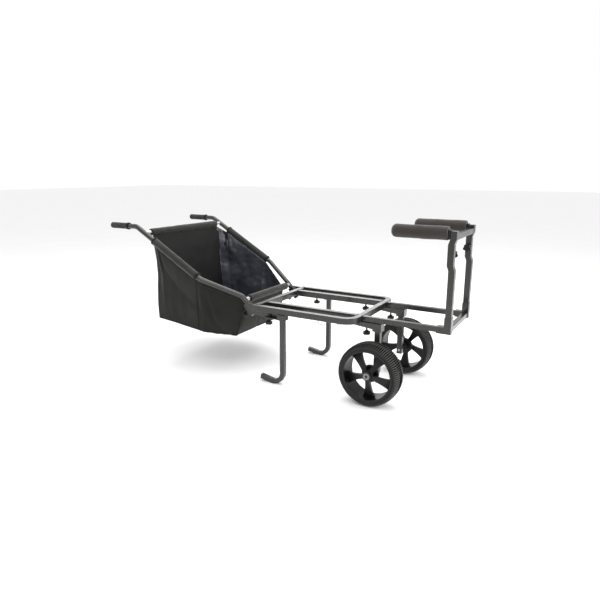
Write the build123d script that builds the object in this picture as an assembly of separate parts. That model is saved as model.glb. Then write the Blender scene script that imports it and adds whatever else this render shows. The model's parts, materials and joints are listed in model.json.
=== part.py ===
from build123d import *
import os

# Two-wheel tackle barrow. Millimetres, +Z up, +X towards the front uprights, +Y to the left of
# the person who pushes it. While it is modelled, X = 0 is the front face of the load bed;
# the last step moves everything so that the origin is under the middle of the whole barrow.

# ---------------------------------------------------------------- driving dimensions
# load bed
bed_top = 408.0
bed_length = 580.0
bed_half_width = 271.0
bed_tube = 30.0
bed_wall = 2.0
bed_corner_radius = 70.0
inner_rail_half_spacing = bed_half_width - 110.0
tube_edge_radius = 2.5

# telescoping front extension
tube_slack = 0.5
extension_tube = bed_tube - 2 * bed_wall - 2 * tube_slack
extension_reach = 424.0
extension_overlap = 330.0
glide_length = 20.0
slide_gap = 0.3

# uprights and the sleeved upper frame
upright_depth = 28.0
upright_width = 30.0
cross_tube_size = upright_depth - 3.0
upright_shoulder_z = bed_top + 275.0
upright_foot_lift = 2.0
upright_joggle = 8.0
upright_joggle_height = 22.0
upright_bore_margin = 4.0
upper_frame_top = bed_top + 425.0
sleeve_length = 92.0
spigot_length = 82.0
corner_sleeve_wall = 2.0
corner_sleeve_top = bed_top + 45.0
corner_sleeve_length = 34.0
corner_rim = 1.0
corner_web = 4.0
corner_gap = 0.1
upper_cross_z = upper_frame_top - 27.0

# padded rod supports
support_axis_z = upper_frame_top - 11.0
support_tube_radius = 11.0
support_foam_radius = 31.0
support_foam_length = 254.0
support_flange_thickness = 11.0
support_flange_side = 2.0
support_flange_drop = 25.0
support_flange_rise = 4.0
support_foam_tip_radius = 20.0

# handle frame
socket_half_spacing = bed_half_width - 45.0
socket_foot_x = -bed_length - 10.0
socket_foot_z = bed_top - 58.0
socket_section = 34.0
socket_length = 70.0
socket_floor = 5.0
socket_groove_depth = 1.0
socket_groove_width = 2.5
socket_groove_shift = 6.0
socket_bend_x = socket_foot_x - 78.0
socket_bend_z = bed_top + 26.0
arm_half_spacing = 333.0
arm_start_x = socket_foot_x - 268.0
arm_start_z = bed_top + 116.0
arm_end_x = arm_start_x - 446.0
grip_z = bed_top + 372.0
handle_end_x = arm_end_x - 190.0
handle_tube_radius = 14.0
handle_wall = 2.0
socket_bend_radius = 40.0
arm_bend_radius = 60.0
sleeve_thickness = 7.0
sleeve_start = 24.0
sleeve_end = 370.0
grip_thickness = 3.0
grip_length = 122.0
grip_end_thickness = 4.0
grip_edge_radius = 3.0
collar_thickness = 5.5
collar_length = 12.0
lower_roller_position = 92.0
upper_roller_x = arm_end_x + 55.0
cross_tube_radius = 11.0
cross_tube_wall = 1.5
cross_tube_plug = 8.0
roller_thickness = 9.0
lower_roller_end_gap = 38.0
upper_roller_end_gap = 47.0

# bag
bag_wall = 3.0
bag_front_x = socket_bend_x - 10.0
bag_rear_x = arm_end_x + 86.0
bag_front_bottom_x = bag_front_x - 44.0
bag_front_bottom_z = bed_top - 203.0
bag_middle_bottom_x = arm_start_x - 22.0
bag_middle_bottom_z = bed_top - 186.0
bag_rear_bottom_z = bed_top - 149.0
bag_front_inset = 2.0
bag_drop = 12.0
bag_front_lap = 8.0
bag_mouth_height = 300.0

# legs
leg_slack = 0.5
leg_tube = bed_tube - 2 * bed_wall - 2 * leg_slack
leg_x = -bed_length + 181.5
leg_bend_radius = 55.0
leg_foot_x = leg_x - 64.5
leg_tip_x = leg_x - 132.5
leg_tip_rise = 11.5
leg_tip_radius = 60.0
leg_top_gap = 4.0
leg_cap_length = 5.0
leg_socket_wall = 8.2
leg_socket_drop = 28.0
leg_tongue_length = 82.0
leg_tongue_thickness = 5.0
leg_tongue_inset = 4.0
plate_gap = 1.0

# wheels and their carriages
wheel_x = 79.0
wheel_radius = 152.5
wheel_width = 100.0
wheel_to_post = 18.0
tyre_height = 30.5
rim_wall = 6.0
rim_lip = 5.0
rim_lip_thickness = 3.0
rim_edge = 1.0
tyre_thickness = 7.0
tyre_bead_gap = 1.0
tyre_bead_rise = 4.0
tyre_shoulder_drop = 9.0
tyre_shoulder_side = 6.0
tyre_crown_step = 2.0
tyre_crown_side = 22.0
tyre_crown_flat = 38.0
spoke_count = 5
spoke_root_width = 22.0
spoke_root_depth = 22.0
spoke_root_height = 27.0
spoke_middle_width = 30.0
spoke_middle_depth = 15.0
spoke_middle_height = 16.0
spoke_tip_width = 62.0
spoke_tip_depth = 13.0
spoke_tip_height = 2.0
spoke_sink_hub = 8.0
spoke_sink_rim = 2.0
hub_radius = 24.0
hub_inner_gap = 3.0
hub_back_radius = 42.0
hub_back_low = -8.0
hub_back_thickness = 10.0
hub_clip_depth = 6.0
hub_cap_radius = 22.0
hub_cap_height = 10.0
hub_cap_edge = 4.0
hub_cap_rim = 1.0
axle_radius = 6.0
axle_clearance = 0.08
axle_collar_radius = 12.0
axle_end_gap = 0.5
axle_tip_length = 3.0
clip_thickness = 2.0
clip_clearance = 1.0
post_section = 28.0
post_wall = 2.0
post_below_axle = 20.0
carriage_half_width = 19.0
carriage_wall = 3.0
carriage_depth = 28.5
carriage_tail = 139.0
carriage_tail_rise = 12.0
carriage_head = 44.0
carriage_head_depth = 38.0

# clamp knobs
knob_radius = 15.0
knob_lobe_radius = 7.0
knob_lobes = 5
knob_height = 14.0
knob_neck_height = 6.0
knob_neck_radius = 9.0
knob_neck_sink = 1.0
stud_radius = 4.0
stud_clearance = 0.1
stud_tip_gap = 0.3
handle_stud = 26.0
leg_stud = 40.0
wheel_stud = 42.0
extension_stud = 14.0
support_stud = 12.0

# small fittings
gusset_thickness = 4.0
gusset_horn = 52.0
gusset_toe = 20.0
gusset_heel = 2.0
strap_loop_x = -176.0
strap_loop_width = 36.0
strap_loop_drop = 20.0
strap_loop_bend = 8.0
strap_wire = 4.0
plug_depth = 12.0
extension_knob_x = -125.0
leg_knob_x = leg_x - 81.5
leg_knob_shift = 2.0
wheel_knob_x = wheel_x - 59.0
support_knob_z = upright_shoulder_z + 43.0
handle_knob_position = 38.0

# ---------------------------------------------------------------- derived places
bed_bottom = bed_top - bed_tube
bed_middle_z = bed_top - bed_tube / 2
outer_rail_y = bed_half_width - bed_tube / 2
extension_bottom = bed_middle_z - extension_tube / 2
wheel_z = wheel_radius
wheel_outer_y = inner_rail_half_spacing + post_section / 2 + wheel_to_post + wheel_width
wheel_middle_y = wheel_outer_y - wheel_width / 2
rim_radius = wheel_radius - tyre_height
leg_socket_section = leg_tube + 2 * slide_gap + 2 * leg_socket_wall
sleeve_radius = handle_tube_radius + sleeve_thickness
grip_radius = handle_tube_radius + grip_thickness
collar_radius = handle_tube_radius + collar_thickness
roller_radius = cross_tube_radius + roller_thickness
lower_roller_half_length = socket_half_spacing - lower_roller_end_gap
upper_roller_half_length = arm_half_spacing - upper_roller_end_gap
bag_front_half_width = lower_roller_half_length - bag_front_inset
carriage_rear_x = wheel_x - carriage_tail
upright_front = extension_reach - corner_sleeve_wall
upright_rear = upright_front - upright_depth
rear_end_x = handle_end_x - grip_end_thickness
centre_x = (extension_reach + rear_end_x) / 2
SIDES = {"left": 1, "right": -1}


# ---------------------------------------------------------------- helpers
def block(x0, x1, y0, y1, z0, z1):
    """A box between two corners."""
    return Pos((x0 + x1) / 2, (y0 + y1) / 2, (z0 + z1) / 2) * Box(x1 - x0, y1 - y0, z1 - z0)


def square_bar_x(x0, x1, y, z, size):
    """A square bar along X, centred on y and z."""
    return block(x0, x1, y - size / 2, y + size / 2, z - size / 2, z + size / 2)


def rounded(shape, axis):
    """The shape with its long edges along an axis rounded as on drawn tube."""
    return fillet(shape.edges().filter_by(axis), tube_edge_radius)


def square_tube_x(x0, x1, y, z, size, wall):
    """A square tube along X, open at both ends."""
    outer = rounded(square_bar_x(x0, x1, y, z, size), Axis.X)
    return outer - square_bar_x(x0 - 1, x1 + 1, y, z, size - 2 * wall)


def cross_tube_y(middle, z, half, size, wall):
    """A square tube along Y between the uprights, open at both ends."""
    outer = block(middle - size / 2, middle + size / 2, -half, half, z - size / 2, z + size / 2)
    inner = block(middle - size / 2 + wall, middle + size / 2 - wall, -half - 1, half + 1,
                  z - size / 2 + wall, z + size / 2 - wall)
    return rounded(outer, Axis.Y) - inner


def rod(start, end, radius):
    """A round bar between two points."""
    axis = Vector(*end) - Vector(*start)
    plane = Plane(origin=start, z_dir=axis)
    return extrude(plane * Circle(radius), axis.length)


def pipe(start, end, outer, inner):
    """A round tube between two points, open at both ends."""
    axis = (Vector(*end) - Vector(*start)).normalized()
    low = Vector(*start) - axis
    high = Vector(*end) + axis
    return rod(start, end, outer) - rod(tuple(low), tuple(high), inner)


def slab_xz(points, y0, y1):
    """A plate drawn as a polygon in X and Z, from y0 to y1."""
    face = make_face(Polyline(*[(x, 0, z) for x, z in points], close=True))
    return Pos(0, y0, 0) * extrude(face, y1 - y0, dir=(0, 1, 0))


def swept(path, section):
    """A section carried along a path."""
    return sweep(Plane(origin=path @ 0, z_dir=path % 0) * section, path)


def on_side(shape, side):
    """The left-hand shape itself, or its mirror image on the right."""
    return shape if SIDES[side] > 0 else mirror(shape, Plane.XZ)


def both_sides(shape):
    """The left-hand shape and its mirror image, as separate solids."""
    return Compound(children=[*solids_of(shape), *solids_of(mirror(shape, Plane.XZ))])


def solids_of(shape):
    return [Solid(s.wrapped) for s in shape.solids()]


def knob(stud_length):
    """Star knob moulded on a stud: the stud's tip is at the origin and the knob is along +Z."""
    start = stud_length
    lobe_circle = knob_radius - knob_lobe_radius / 2
    grip = Pos(0, 0, start + knob_neck_height) * extrude(Circle(knob_radius), knob_height)
    for index in range(knob_lobes):
        lobe = Rot(0, 0, 360 / knob_lobes * index) * Pos(lobe_circle, 0, start + knob_neck_height)
        grip += lobe * extrude(Circle(knob_lobe_radius), knob_height)
    grip += Pos(0, 0, start) * extrude(Circle(knob_neck_radius), knob_neck_height + knob_neck_sink)
    stud_end = start + knob_neck_height + knob_height / 2
    stud = extrude(Circle(stud_radius), stud_end)
    return Compound(children=[*solids_of(grip - stud), *solids_of(stud)])


def knob_at(tip, direction, stud_length):
    """A knob with its stud's tip at a point, standing out along a direction."""
    return Plane(origin=tip, z_dir=direction).location * knob(stud_length)


def stud_hole(tip, direction, depth):
    """The hole that a knob's stud turns in, running both ways from the stud's tip."""
    way = Vector(*direction).normalized()
    low = Vector(*tip) - way * 1.0
    high = Vector(*tip) + way * depth
    return rod(tuple(low), tuple(high), stud_radius + stud_clearance)


# ---------------------------------------------------------------- load bed
def bed_plan(inset):
    """The bed's U seen from above: its tube, made thinner by the inset on every side."""
    half = bed_half_width - inset
    inner_half = bed_half_width - bed_tube + inset
    front = -inset
    inner_front = -bed_tube + inset
    outer = rounded_front(-bed_length, front, half, bed_corner_radius - inset)
    inner = rounded_front(-bed_length - 1, inner_front, inner_half, bed_corner_radius - bed_tube + inset)
    return outer - inner


def rounded_front(x0, x1, half, radius):
    """A rectangle seen from above whose two front corners are rounded."""
    area = Pos((x0 + x1) / 2, 0) * Rectangle(x1 - x0, 2 * half)
    corners = area.vertices().filter_by_position(Axis.X, x1 - 0.01, x1 + 0.01)
    return fillet(corners, radius)


def outer_hoop():
    hoop = extrude(Pos(0, 0, bed_bottom) * bed_plan(0), bed_tube)
    flat = hoop.faces().sort_by(Axis.Z)
    edges = [edge for face in (flat[0], flat[-1]) for edge in face.edges() if edge.center().X > -bed_length + 1]
    hoop = fillet(edges, tube_edge_radius)
    hoop -= extrude(Pos(0, 0, bed_bottom + bed_wall) * bed_plan(bed_wall), bed_tube - 2 * bed_wall)
    for side in SIDES.values():
        hoop -= square_bar_x(-bed_tube - 1, 1, side * inner_rail_half_spacing, bed_middle_z,
                             bed_tube - 2 * bed_wall)
        hoop -= leg_cavity(side)
    return hoop


def leg_cavity(side):
    half = leg_tube / 2 + slide_gap
    y = side * outer_rail_y
    return block(leg_x - half, leg_x + half, y - half, y + half, bed_bottom - 1, bed_bottom + bed_wall + 1)


def rear_cross_tube():
    inner_half = bed_half_width - bed_tube
    front = -bed_length + bed_tube
    outer = block(-bed_length, front, -inner_half, inner_half, bed_bottom, bed_top)
    wall = bed_wall
    hollow = block(-bed_length + wall, front - wall, -inner_half - 1, inner_half + 1,
                   bed_bottom + wall, bed_top - wall)
    return rounded(outer, Axis.Y) - hollow


def inner_rail():
    rail = square_tube_x(-bed_length + bed_tube, -bed_tube, inner_rail_half_spacing, bed_middle_z,
                         bed_tube, bed_wall)
    return rail - stud_hole(extension_knob_tip(), (0, 0, -1), bed_wall + 1)


def extension_knob_tip():
    return (extension_knob_x, inner_rail_half_spacing, extension_bottom - stud_tip_gap)


def gusset_plate():
    """Plate that ties the rail's end to the handle socket and the leg socket."""
    y0 = socket_half_spacing + socket_section / 2
    leg_rear = leg_x - leg_socket_section / 2
    low = bed_bottom - leg_socket_drop
    top_back = (socket_foot_x - gusset_horn, bed_top)
    points = [(leg_rear, low), (leg_rear, bed_bottom), (-bed_length, bed_bottom), (-bed_length, bed_top),
              top_back, (socket_foot_x - gusset_heel, low), (-bed_length + gusset_toe, low)]
    return slab_xz(points, y0, y0 + gusset_thickness)


def rail_end_plug():
    """Plastic plug in the open rear end of the outer rail."""
    inner = bed_tube - 2 * bed_wall
    return square_bar_x(-bed_length, -bed_length + plug_depth, outer_rail_y, bed_middle_z, inner)


def strap_loop():
    """Bent wire loop welded under the outer rail."""
    half = strap_loop_width / 2
    top = bed_bottom
    low = top - strap_loop_drop
    path = FilletPolyline((strap_loop_x - half, outer_rail_y, top), (strap_loop_x - half, outer_rail_y, low),
                          (strap_loop_x + half, outer_rail_y, low), (strap_loop_x + half, outer_rail_y, top),
                          radius=strap_loop_bend)
    return swept(path, Circle(strap_wire / 2))


def leg_socket():
    """Sleeve under the outer rail, with a tongue that carries the clamp knob."""
    half = leg_socket_section / 2
    low = bed_bottom - leg_socket_drop
    bore = leg_tube / 2 + slide_gap
    sleeve = block(leg_x - half, leg_x + half, outer_rail_y - half, outer_rail_y + half, low, bed_bottom)
    tongue_rear = leg_x - half - leg_tongue_length
    plate_side = socket_half_spacing + socket_section / 2 + gusset_thickness
    tongue = block(tongue_rear, leg_x - half, plate_side, outer_rail_y + half - leg_tongue_inset, low,
                   low + leg_tongue_thickness)
    hollow = block(leg_x - bore, leg_x + bore, outer_rail_y - bore, outer_rail_y + bore, low - 1, bed_bottom + 1)
    plate_slot = block(leg_x - half - plate_gap, leg_x - half, 0, plate_side, low - 1, bed_bottom + 1)
    return sleeve + tongue - hollow - stud_hole(leg_knob_tip(), (0, 0, -1), leg_socket_drop) - plate_slot


def leg_knob_tip():
    return (leg_knob_x, leg_knob_y(), bed_bottom - stud_tip_gap)


def leg_knob_y():
    return outer_rail_y + leg_knob_shift


# ---------------------------------------------------------------- front extension
def extension_rail():
    front = upright_rear - corner_sleeve_wall - corner_web
    return square_tube_x(-extension_overlap, front, inner_rail_half_spacing, bed_middle_z,
                         extension_tube, bed_wall)


def extension_glide():
    """Plastic block on the rear end of the rail, which runs inside the inner rail."""
    size = bed_tube - 2 * bed_wall - slide_gap
    return square_bar_x(-extension_overlap - glide_length, -extension_overlap,
                        inner_rail_half_spacing, bed_middle_z, size)


def corner_socket():
    """Cast corner that holds the rail's front end and the upright's foot."""
    y = inner_rail_half_spacing
    half = upright_width / 2 + corner_sleeve_wall
    rear = upright_rear - corner_sleeve_wall
    low = extension_bottom - corner_sleeve_wall - corner_rim
    high = extension_bottom + extension_tube + corner_sleeve_wall + corner_rim
    corner = block(rear, extension_reach, y - half, y + half, low, corner_sleeve_top)
    corner += block(rear - corner_sleeve_length, rear, y - half, y + half, low, high)
    corner -= square_bar_x(rear - corner_sleeve_length - 1, rear - corner_web + corner_gap, y, bed_middle_z,
                           extension_tube + 2 * corner_gap)
    corner -= block(upright_rear, upright_front, y - upright_width / 2, y + upright_width / 2,
                    upright_foot_z(), corner_sleeve_top + 1)
    return corner


def upright_foot_z():
    return extension_bottom + upright_foot_lift


def lower_cross_tube():
    half = inner_rail_half_spacing - upright_width / 2 - corner_sleeve_wall
    return cross_tube_y((upright_rear + upright_front) / 2, bed_middle_z, half, cross_tube_size, bed_wall)


def rounded_slab(points, y0, y1):
    """A bent square tube's solid, with every edge rounded but those round its two ends."""
    slab = slab_xz(points, y0, y1)
    low = min(z for _, z in points)
    high = max(z for _, z in points)
    edges = [edge for edge in slab.edges()
             if abs(edge.center().Z - low) > 0.01 and abs(edge.center().Z - high) > 0.01
             and abs(edge.center().Y - (y0 + y1) / 2) > 0.01]
    return fillet(edges, tube_edge_radius)


def upright():
    """Lower tube with a joggle under its shoulder, and the spigot that the sleeve slides on."""
    y0 = inner_rail_half_spacing - upright_width / 2
    y1 = inner_rail_half_spacing + upright_width / 2
    top = upright_shoulder_z - slide_gap
    bend = upright_shoulder_z - upright_joggle_height
    back = upright_rear - upright_joggle
    points = [(upright_rear, upright_foot_z()), (upright_front, upright_foot_z()), (upright_front, bend),
              (upright_front - upright_joggle, top), (back, top), (upright_rear, bend)]
    wall = bed_wall
    tube = rounded_slab(points, y0, y1)
    tube -= block(upright_rear + wall, upright_front - wall, y0 + wall, y1 - wall,
                  upright_foot_z() - 1, bend - upright_bore_margin)
    gap = wall + slide_gap
    spigot = block(back + gap, back + upright_depth - gap, y0 + gap, y1 - gap, top, top + spigot_length)
    return tube + spigot


def upper_post():
    """Sleeve over the spigot, joggled forward again to the top."""
    y0 = inner_rail_half_spacing - upright_width / 2
    y1 = inner_rail_half_spacing + upright_width / 2
    back = upright_rear - upright_joggle
    bend = upright_shoulder_z + sleeve_length
    straight = bend + upright_joggle_height
    points = [(back, upright_shoulder_z), (back + upright_depth, upright_shoulder_z),
              (back + upright_depth, bend), (upright_front, straight), (upright_front, upper_frame_top),
              (upright_rear, upper_frame_top), (upright_rear, straight), (back, bend)]
    wall = bed_wall
    post = rounded_slab(points, y0, y1)
    post -= block(back + wall, back + upright_depth - wall, y0 + wall, y1 - wall,
                  upright_shoulder_z - 1, bend - upright_bore_margin)
    return post - stud_hole(support_knob_tip(), (0, -1, 0), wall + 1)


def support_knob_tip():
    middle = upright_rear - upright_joggle + upright_depth / 2
    inner_face = inner_rail_half_spacing - upright_width / 2
    return (middle, inner_face + bed_wall, support_knob_z)


def upper_cross_tube():
    half = inner_rail_half_spacing - upright_width / 2
    return cross_tube_y((upright_rear + upright_front) / 2, upper_cross_z, half, cross_tube_size, bed_wall)


def support_flange():
    """Plastic block between the post and the padded support."""
    y = inner_rail_half_spacing
    half = upright_width / 2 + support_flange_side
    front = upright_rear
    plate = block(front - support_flange_thickness, front, y - half, y + half,
                  support_axis_z - support_flange_drop, upper_frame_top + support_flange_rise)
    hole = rod((front - support_flange_thickness - 1, y, support_axis_z), (front + 1, y, support_axis_z),
               support_tube_radius)
    return plate - hole


def support_tube():
    y = inner_rail_half_spacing
    rear = upright_rear - support_flange_thickness - support_foam_length + support_foam_tip_radius
    return pipe((rear, y, support_axis_z), (upright_rear, y, support_axis_z), support_tube_radius,
                support_tube_radius - bed_wall)


def support_foam():
    """Foam sleeve with a rounded, closed tip."""
    y = inner_rail_half_spacing
    front = upright_rear - support_flange_thickness
    rear = front - support_foam_length
    foam = rod((rear, y, support_axis_z), (front, y, support_axis_z), support_foam_radius)
    foam = fillet(foam.faces().sort_by(Axis.X)[0].edges(), support_foam_tip_radius)
    return foam - rod((rear + support_foam_tip_radius, y, support_axis_z), (front + 1, y, support_axis_z),
                      support_tube_radius)


# ---------------------------------------------------------------- handle frame
socket_foot = Vector(socket_foot_x, socket_half_spacing, socket_foot_z)
socket_bend = Vector(socket_bend_x, socket_half_spacing, socket_bend_z)
arm_start = Vector(arm_start_x, arm_half_spacing, arm_start_z)
arm_end = Vector(arm_end_x, arm_half_spacing, grip_z)
handle_end = Vector(handle_end_x, arm_half_spacing, grip_z)
socket_way = (socket_bend - socket_foot).normalized()
arm_way = (arm_end - arm_start).normalized()
knob_way = Vector(-socket_way.Z, 0, socket_way.X)


def handle_path():
    foot = socket_foot + socket_way * (socket_floor + slide_gap)
    return FilletPolyline(tuple(foot), tuple(socket_bend), tuple(arm_start), tuple(arm_end), tuple(handle_end),
                          radius=[socket_bend_radius, arm_bend_radius, arm_bend_radius])


def handle_bar(radius):
    return swept(handle_path(), Circle(radius))


def handle_tube():
    return handle_bar(handle_tube_radius) - handle_bar(handle_tube_radius - handle_wall)


def handle_socket():
    """Ribbed square socket with a blind round bore for the handle tube."""
    place = Plane(origin=tuple(socket_foot), x_dir=(0, 1, 0), z_dir=tuple(socket_way))
    socket = extrude(place * Rectangle(socket_section, socket_section), socket_length)
    for turn in (0, 180):
        for shift in (-socket_groove_shift, socket_groove_shift):
            groove = place.location * Rot(0, 0, turn) * Pos(socket_section / 2, shift, socket_length / 2)
            socket -= groove * Box(2 * socket_groove_depth, socket_groove_width, socket_length + 2)
    bore = socket_foot + socket_way * socket_floor
    mouth = socket_foot + socket_way * (socket_length + 1)
    socket -= rod(tuple(bore), tuple(mouth), handle_tube_radius + slide_gap)
    return socket - stud_hole(handle_knob_tip(), tuple(knob_way), socket_section)


def handle_knob_tip():
    reach = handle_tube_radius + 2 * slide_gap
    return tuple(socket_foot + socket_way * handle_knob_position + knob_way * reach)


def roller_centres():
    lower = socket_foot + socket_way * lower_roller_position
    share = (upper_roller_x - arm_start_x) / (arm_end_x - arm_start_x)
    upper = arm_start + (arm_end - arm_start) * share
    return lower, upper


def bag_tube(centre):
    """Cross tube between the handle tubes, with its ends cut to fit round them."""
    tube = rod((centre.X, -centre.Y, centre.Z), (centre.X, centre.Y, centre.Z), cross_tube_radius)
    bar = handle_bar(handle_tube_radius)
    tube = tube - bar - mirror(bar, Plane.XZ)
    reach = centre.Y - handle_tube_radius - cross_tube_plug
    hollow = rod((centre.X, -reach, centre.Z), (centre.X, reach, centre.Z), cross_tube_radius - cross_tube_wall)
    return tube - hollow


def roller(centre, half_length):
    return pipe((centre.X, -half_length, centre.Z), (centre.X, half_length, centre.Z), roller_radius,
                cross_tube_radius)


def arm_sleeve():
    start = arm_start + arm_way * sleeve_start
    end = arm_start + arm_way * sleeve_end
    return pipe(tuple(start), tuple(end), sleeve_radius, handle_tube_radius)


def grip():
    front = handle_end_x - grip_end_thickness + grip_length
    body = rod((handle_end_x - grip_end_thickness, arm_half_spacing, grip_z), (front, arm_half_spacing, grip_z),
               grip_radius)
    body = fillet(body.faces().sort_by(Axis.X)[0].edges(), min(grip_edge_radius, grip_radius / 2))
    return body - rod((handle_end_x, arm_half_spacing, grip_z), (front + 1, arm_half_spacing, grip_z),
                      handle_tube_radius)


def grip_collar():
    front = handle_end_x - grip_end_thickness + grip_length
    return pipe((front, arm_half_spacing, grip_z), (front + collar_length, arm_half_spacing, grip_z),
                collar_radius, handle_tube_radius)


def bag_profile(inset, lift):
    """The bag from the side: open along its top, which follows the arms."""
    slope = arm_way.Z / arm_way.X
    rear_x = bag_rear_x + inset
    front_x = bag_front_x - inset
    rear_top = arm_start_z + slope * (rear_x - arm_start_x) - bag_drop
    middle_top = arm_start_z - bag_drop
    front_top = roller_centres()[0].Z - roller_radius + bag_front_lap
    lean = (bag_front_x - bag_front_bottom_x) / (front_top - bag_front_bottom_z - inset)
    return [(front_x + lean * lift, front_top + lift), (bag_front_bottom_x - inset, bag_front_bottom_z + inset),
            (bag_middle_bottom_x, bag_middle_bottom_z + inset), (rear_x, bag_rear_bottom_z + inset),
            (rear_x, rear_top + lift), (arm_start_x, middle_top + lift)]


def bag_plan(inset):
    """The bag from above: narrow at the lower roller, as wide as the arms allow behind it."""
    wide = arm_half_spacing - sleeve_radius - slide_gap - inset
    narrow = bag_front_half_width - inset
    front = max(bag_front_x, bag_front_bottom_x) + bag_mouth_height
    half = [(front, narrow), (bag_front_x, narrow), (arm_start_x, wide), (bag_rear_x - 1, wide)]
    return make_face(Polyline(*half, *[(x, -y) for x, y in reversed(half)], close=True))


def bag():
    outer = slab_xz(bag_profile(0, 0), -arm_half_spacing, arm_half_spacing)
    outer = outer & extrude(bag_plan(0), grip_z)
    inner = slab_xz(bag_profile(bag_wall, bag_mouth_height), -arm_half_spacing, arm_half_spacing)
    inner = inner & extrude(bag_plan(bag_wall), 2 * grip_z)
    return outer - inner


# ---------------------------------------------------------------- legs
def leg():
    """Square tube with a foot that bends back and ends in a plastic cap."""
    foot_z = leg_tube / 2
    top = bed_top - bed_wall - leg_top_gap
    tip = (leg_tip_x + leg_cap_length, outer_rail_y, foot_z + leg_tip_rise)
    path = FilletPolyline((leg_x, outer_rail_y, top), (leg_x, outer_rail_y, foot_z),
                          (leg_foot_x, outer_rail_y, foot_z), tip, radius=[leg_bend_radius, leg_tip_radius])
    tube = swept(path, RectangleRounded(leg_tube, leg_tube, tube_edge_radius))
    tube -= swept(path, Rectangle(leg_tube - 2 * bed_wall, leg_tube - 2 * bed_wall))
    way = path % 1
    cap_plane = Plane(origin=path @ 1, x_dir=(0, 1, 0), z_dir=way)
    cap = extrude(cap_plane * RectangleRounded(leg_tube, leg_tube, tube_edge_radius), leg_cap_length)
    cap += extrude(cap_plane * Rectangle(leg_tube - 2 * bed_wall, leg_tube - 2 * bed_wall), -plug_depth)
    return Compound(children=[*solids_of(tube), *solids_of(cap)])


# ---------------------------------------------------------------- wheels
def wheel_place():
    """Wheel parts are drawn round +Z, with the outer face up, and turned to face outwards."""
    return Plane(origin=(wheel_x, wheel_middle_y, wheel_z), x_dir=(1, 0, 0), z_dir=(0, 1, 0)).location


def revolved(points):
    """A ring turned round Z from a closed outline of radius and height."""
    face = make_face(Polyline(*[(r, 0, h) for r, h in points], close=True))
    return revolve(face, Axis.Z)


def tyre_outline(inset):
    """Half of the tyre's section, from its bead to the middle of its crown."""
    bead = wheel_width / 2 - rim_lip_thickness - rim_edge
    side = wheel_width / 2 - inset
    crown = wheel_radius - inset
    shoulder = wheel_radius - tyre_shoulder_drop - inset
    base = rim_radius - (1 if inset else 0)
    low = rim_radius + rim_lip + tyre_bead_gap
    return [(base, bead - inset), (low, bead - inset), (low + tyre_bead_rise, side), (shoulder - tyre_bead_rise, side),
            (shoulder + tyre_shoulder_side / 2, side - tyre_shoulder_side),
            (crown - tyre_crown_step, side - tyre_crown_side), (crown, side - tyre_crown_flat)]


def tyre():
    def section(inset):
        half = tyre_outline(inset)
        return revolved([*half, *[(r, -h) for r, h in reversed(half)]])

    return wheel_place() * (section(0) - section(tyre_thickness))


def rim():
    """Barrel with two lips, hub, back disc and flared spokes."""
    barrel_half = wheel_width / 2 - rim_lip_thickness - rim_edge
    lip_half = barrel_half + rim_lip_thickness
    inner = rim_radius - rim_wall
    barrel = revolved([(inner, -lip_half), (rim_radius + rim_lip, -lip_half), (rim_radius + rim_lip, -barrel_half),
                       (rim_radius, -barrel_half), (rim_radius, barrel_half), (rim_radius + rim_lip, barrel_half),
                       (rim_radius + rim_lip, lip_half), (inner, lip_half)])
    hub_low = -wheel_width / 2 + hub_inner_gap
    hub_high = wheel_width / 2 - hub_cap_height
    hub = Pos(0, 0, hub_low) * extrude(Circle(hub_radius), hub_high - hub_low)
    hub += Pos(0, 0, hub_back_low) * extrude(Circle(hub_back_radius), hub_back_thickness)
    wheel = barrel + hub
    for index in range(spoke_count):
        wheel += Rot(0, 0, 90 + 360 / spoke_count * index) * spoke()
    wheel -= Pos(0, 0, hub_low - 1) * extrude(Circle(axle_radius + axle_clearance), hub_high - hub_low + 2)
    wheel -= Pos(0, 0, hub_high - hub_clip_depth) * extrude(Circle(axle_collar_radius + clip_clearance),
                                                            hub_clip_depth + 1)
    return wheel_place() * wheel


def spoke():
    """One spoke along +X: narrow and forward at the hub, wide and set back at the barrel."""
    start = hub_radius - spoke_sink_hub
    end = rim_radius - rim_wall + spoke_sink_rim
    sections = ((start, spoke_root_width, spoke_root_depth, spoke_root_height),
                ((start + end) / 2, spoke_middle_width, spoke_middle_depth, spoke_middle_height),
                (end, spoke_tip_width, spoke_tip_depth, spoke_tip_height))
    faces = [Plane(origin=(r, 0, height), x_dir=(0, 1, 0), z_dir=(1, 0, 0)) * Rectangle(width, depth)
             for r, width, depth, height in sections]
    return loft(faces)


def hub_cap():
    """Domed plain cap pressed over the end of the hub."""
    high = wheel_width / 2
    dome = [(0, high - hub_cap_height), (hub_cap_radius, high - hub_cap_height), (hub_cap_radius, high - hub_cap_edge),
            (hub_cap_radius - hub_cap_edge, high - hub_cap_rim), (0, high)]
    return wheel_place() * revolved(dome)


def axle():
    """Shaft welded into the post, with a collar inside the wheel and a clip outside it."""
    post_outer = inner_rail_half_spacing + post_section / 2
    hub_inner = wheel_outer_y - wheel_width + hub_inner_gap
    hub_outer = wheel_outer_y - hub_cap_height - hub_clip_depth
    start = inner_rail_half_spacing - post_section / 2
    shaft = rod((wheel_x, start, wheel_z), (wheel_x, hub_outer + axle_end_gap + axle_tip_length, wheel_z), axle_radius)
    shaft += rod((wheel_x, post_outer, wheel_z), (wheel_x, hub_inner - axle_end_gap, wheel_z), axle_collar_radius)
    clip_at = hub_outer + axle_end_gap
    clip = pipe((wheel_x, clip_at, wheel_z), (wheel_x, clip_at + clip_thickness, wheel_z),
                axle_collar_radius - clip_clearance, axle_radius)
    return Compound(children=[*solids_of(shaft), *solids_of(clip)])


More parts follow.
